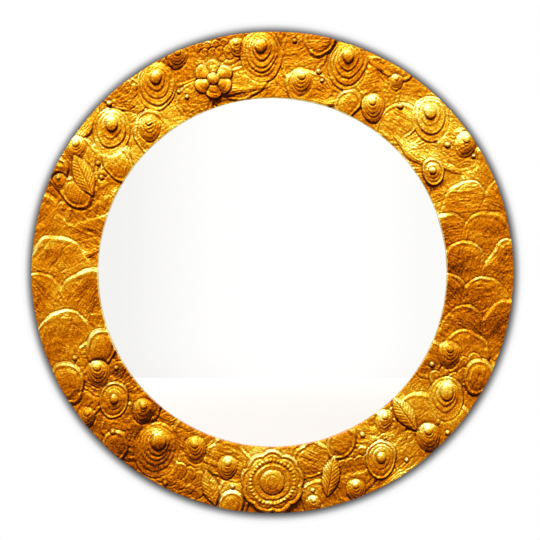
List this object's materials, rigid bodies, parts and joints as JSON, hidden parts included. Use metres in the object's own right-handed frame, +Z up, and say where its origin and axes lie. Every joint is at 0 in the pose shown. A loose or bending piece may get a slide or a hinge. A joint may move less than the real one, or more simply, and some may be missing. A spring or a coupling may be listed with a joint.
{
  "type": "round wall mirror",
  "caption": "Round wall mirror: flat glass disc behind the lip of a wide gilt ring with low relief bosses, rosettes and scales, on a dark board ring with back hardware.",
  "frame": {"origin": "on the wall plane, at the centre of the round mirror", "axes": "+X right and +Z up as seen from the front, the mirror faces -Y and +Y goes into the wall"},
  "size_m": [0.5999, 0.0254, 0.6],
  "materials": {
    "gilt_resin": "gold leaf over moulded resin, dark wash in the hollows",
    "painted_fibreboard": "fibreboard painted matt charcoal",
    "mirror": "silvered float glass",
    "felt": "black felt",
    "cork": "cork",
    "hardboard": "smooth brown hardboard",
    "zinc_steel": "bright zinc plate",
    "bumper_rubber": "black rubber"
  },
  "bodies": {
    "frame": {"core_ring": "painted_fibreboard", "gilt_ring": "gilt_resin", "stepped_bosses": "gilt_resin", "eye_bosses": "gilt_resin", "rosettes": "gilt_resin", "leaves": "gilt_resin", "overlapping_scales": "gilt_resin", "mirror_glass": "mirror", "felt_pads": "felt", "glass_shims": "cork", "backing_board": "hardboard", "wood_screws": "zinc_steel", "hanger_strap": "zinc_steel", "wall_bumpers": "bumper_rubber"},
    "hanging_ring": {"hanging_ring": "zinc_steel"},
    "turn_button_1": {"turn_button_1": "zinc_steel"},
    "turn_button_2": {"turn_button_2": "zinc_steel"},
    "turn_button_3": {"turn_button_3": "zinc_steel"},
    "turn_button_4": {"turn_button_4": "zinc_steel"}
  },
  "joints": [
    {"name": "hanging_ring_swing", "type": "hinge", "parent": "frame", "child": "hanging_ring", "pos_m": [0, -0.0033, 0.278], "axis": [-1, 0, 0], "range_deg": [0, 170]},
    {"name": "turn_button_1_turn", "type": "hinge", "parent": "frame", "child": "turn_button_1", "pos_m": [0.16758, -0.0057, 0.16758], "axis": [0, 1, 0], "continuous": true},
    {"name": "turn_button_2_turn", "type": "hinge", "parent": "frame", "child": "turn_button_2", "pos_m": [0.16758, -0.0057, -0.16758], "axis": [0, 1, 0], "continuous": true},
    {"name": "turn_button_3_turn", "type": "hinge", "parent": "frame", "child": "turn_button_3", "pos_m": [-0.16758, -0.0057, -0.16758], "axis": [0, 1, 0], "continuous": true},
    {"name": "turn_button_4_turn", "type": "hinge", "parent": "frame", "child": "turn_button_4", "pos_m": [-0.16758, -0.0057, 0.16758], "axis": [0, 1, 0], "continuous": true}
  ]
}
